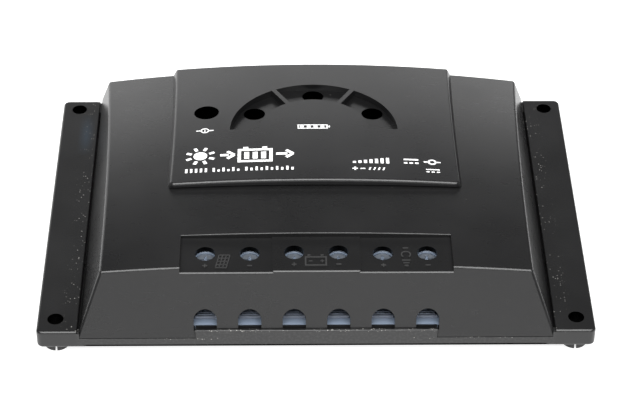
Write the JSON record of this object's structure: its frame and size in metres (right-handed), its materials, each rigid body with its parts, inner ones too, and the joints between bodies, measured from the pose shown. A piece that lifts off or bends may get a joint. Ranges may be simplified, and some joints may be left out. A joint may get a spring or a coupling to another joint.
{
  "type": "solar charge controller",
  "caption": "Wall-mounted solar charge controller: arched black case on screw flanges, gauge-style lamp panel, and a row of rising-cage screw terminals behind arched wire windows.",
  "frame": {"origin": "centre of the footprint, on the plane that the four spacer feet stand on", "axes": "+Z out of the wall, +Y away from the terminal side, +X along the long side, to the right seen from the terminals"},
  "size_m": [0.145, 0.1, 0.0259],
  "materials": {
    "housing_black": "satin black moulded plastic, fine spark-eroded texture",
    "panel_black": "satin black moulded plastic, a little smoother",
    "terminal_grey": "blue-grey moulded plastic",
    "zinc_steel": "bright zinc plate with a blue tint",
    "tinned_copper": "tin-plated copper",
    "board_green": "glass-epoxy board with green solder mask",
    "lens_green": "tinted diffused epoxy",
    "lens_yellow": "tinted diffused epoxy",
    "lens_red": "tinted diffused epoxy",
    "spacer_black": "matt black nylon",
    "bare_aluminium": "bent sheet, lightly brushed",
    "silicone_pad": "grey filled silicone sheet",
    "capacitor_sleeve": "shrink sleeve over an aluminium can",
    "black_epoxy": "moulded epoxy",
    "shunt_alloy": "bare resistance alloy",
    "crystal_can": "drawn nickel-silver can",
    "thermistor_bead": "dipped epoxy bead",
    "chip_black": "glazed chip resistor",
    "chip_tan": "fired ceramic chip"
  },
  "bodies": {
    "controller": {"base_tray": "housing_black", "front_cover": "housing_black", "display_panel": "panel_black", "circuit_board": "board_green", "board_screws": "zinc_steel", "info_led": "lens_green", "info_led_spacer": "spacer_black", "heat_spreader": "bare_aluminium", "insulating_pad": "silicone_pad", "tab_screws": "zinc_steel", "input_capacitor": "capacitor_sleeve", "output_capacitor": "capacitor_sleeve", "logic_capacitor": "capacitor_sleeve", "microcontroller": "black_epoxy", "microcontroller_pins": "tinned_copper", "voltage_regulator": "black_epoxy", "shunt_resistor": "shunt_alloy", "input_surge_diode": "black_epoxy", "output_surge_diode": "black_epoxy", "resonator": "crystal_can", "temperature_sensor": "thermistor_bead", "chip_resistors": "chip_black", "chip_capacitors": "chip_tan", "terminal_housing_solar": "terminal_grey", "terminal_housing_battery": "terminal_grey", "terminal_housing_load": "terminal_grey", "current_bar_1": "tinned_copper", "current_bar_2": "tinned_copper", "current_bar_3": "tinned_copper", "current_bar_4": "tinned_copper", "current_bar_5": "tinned_copper", "current_bar_6": "tinned_copper", "battery_led_1": "lens_red", "battery_led_spacer_1": "spacer_black", "battery_led_2": "lens_yellow", "battery_led_spacer_2": "spacer_black", "battery_led_3": "lens_green", "battery_led_spacer_3": "spacer_black", "mosfet_frame_1": "tinned_copper", "mosfet_body_1": "black_epoxy", "mosfet_frame_2": "tinned_copper", "mosfet_body_2": "black_epoxy", "mosfet_frame_3": "tinned_copper", "mosfet_body_3": "black_epoxy"},
    "screw_1": {"terminal_screw_1": "zinc_steel"},
    "cage_1": {"clamp_cage_1": "zinc_steel"},
    "screw_2": {"terminal_screw_2": "zinc_steel"},
    "cage_2": {"clamp_cage_2": "zinc_steel"},
    "screw_3": {"terminal_screw_3": "zinc_steel"},
    "cage_3": {"clamp_cage_3": "zinc_steel"},
    "screw_4": {"terminal_screw_4": "zinc_steel"},
    "cage_4": {"clamp_cage_4": "zinc_steel"},
    "screw_5": {"terminal_screw_5": "zinc_steel"},
    "cage_5": {"clamp_cage_5": "zinc_steel"},
    "screw_6": {"terminal_screw_6": "zinc_steel"},
    "cage_6": {"clamp_cage_6": "zinc_steel"}
  },
  "joints": [
    {"name": "screw_1_turn", "type": "hinge", "parent": "controller", "child": "screw_1", "pos_m": [-0.02875, -0.036, 0.0128], "axis": [0, 0, -1], "range_deg": [0, 2160]},
    {"name": "cage_1_rise", "type": "slide", "parent": "controller", "child": "cage_1", "axis": [0, 0, 1], "range_m": [0, 0.003]},
    {"name": "screw_2_turn", "type": "hinge", "parent": "controller", "child": "screw_2", "pos_m": [-0.01725, -0.036, 0.0128], "axis": [0, 0, -1], "range_deg": [0, 2160]},
    {"name": "cage_2_rise", "type": "slide", "parent": "controller", "child": "cage_2", "axis": [0, 0, 1], "range_m": [0, 0.003]},
    {"name": "screw_3_turn", "type": "hinge", "parent": "controller", "child": "screw_3", "pos_m": [-0.00575, -0.036, 0.0128], "axis": [0, 0, -1], "range_deg": [0, 2160]},
    {"name": "cage_3_rise", "type": "slide", "parent": "controller", "child": "cage_3", "axis": [0, 0, 1], "range_m": [0, 0.003]},
    {"name": "screw_4_turn", "type": "hinge", "parent": "controller", "child": "screw_4", "pos_m": [0.00575, -0.036, 0.0128], "axis": [0, 0, -1], "range_deg": [0, 2160]},
    {"name": "cage_4_rise", "type": "slide", "parent": "controller", "child": "cage_4", "axis": [0, 0, 1], "range_m": [0, 0.003]},
    {"name": "screw_5_turn", "type": "hinge", "parent": "controller", "child": "screw_5", "pos_m": [0.01725, -0.036, 0.0128], "axis": [0, 0, -1], "range_deg": [0, 2160]},
    {"name": "cage_5_rise", "type": "slide", "parent": "controller", "child": "cage_5", "axis": [0, 0, 1], "range_m": [0, 0.003]},
    {"name": "screw_6_turn", "type": "hinge", "parent": "controller", "child": "screw_6", "pos_m": [0.02875, -0.036, 0.0128], "axis": [0, 0, -1], "range_deg": [0, 2160]},
    {"name": "cage_6_rise", "type": "slide", "parent": "controller", "child": "cage_6", "axis": [0, 0, 1], "range_m": [0, 0.003]}
  ],
  "couplings": [
    {"joint": "screw_1_turn", "follows": "cage_1_rise", "rad_per_m": 12566},
    {"joint": "screw_2_turn", "follows": "cage_2_rise", "rad_per_m": 12566},
    {"joint": "screw_3_turn", "follows": "cage_3_rise", "rad_per_m": 12566},
    {"joint": "screw_4_turn", "follows": "cage_4_rise", "rad_per_m": 12566},
    {"joint": "screw_5_turn", "follows": "cage_5_rise", "rad_per_m": 12566},
    {"joint": "screw_6_turn", "follows": "cage_6_rise", "rad_per_m": 12566}
  ]
}
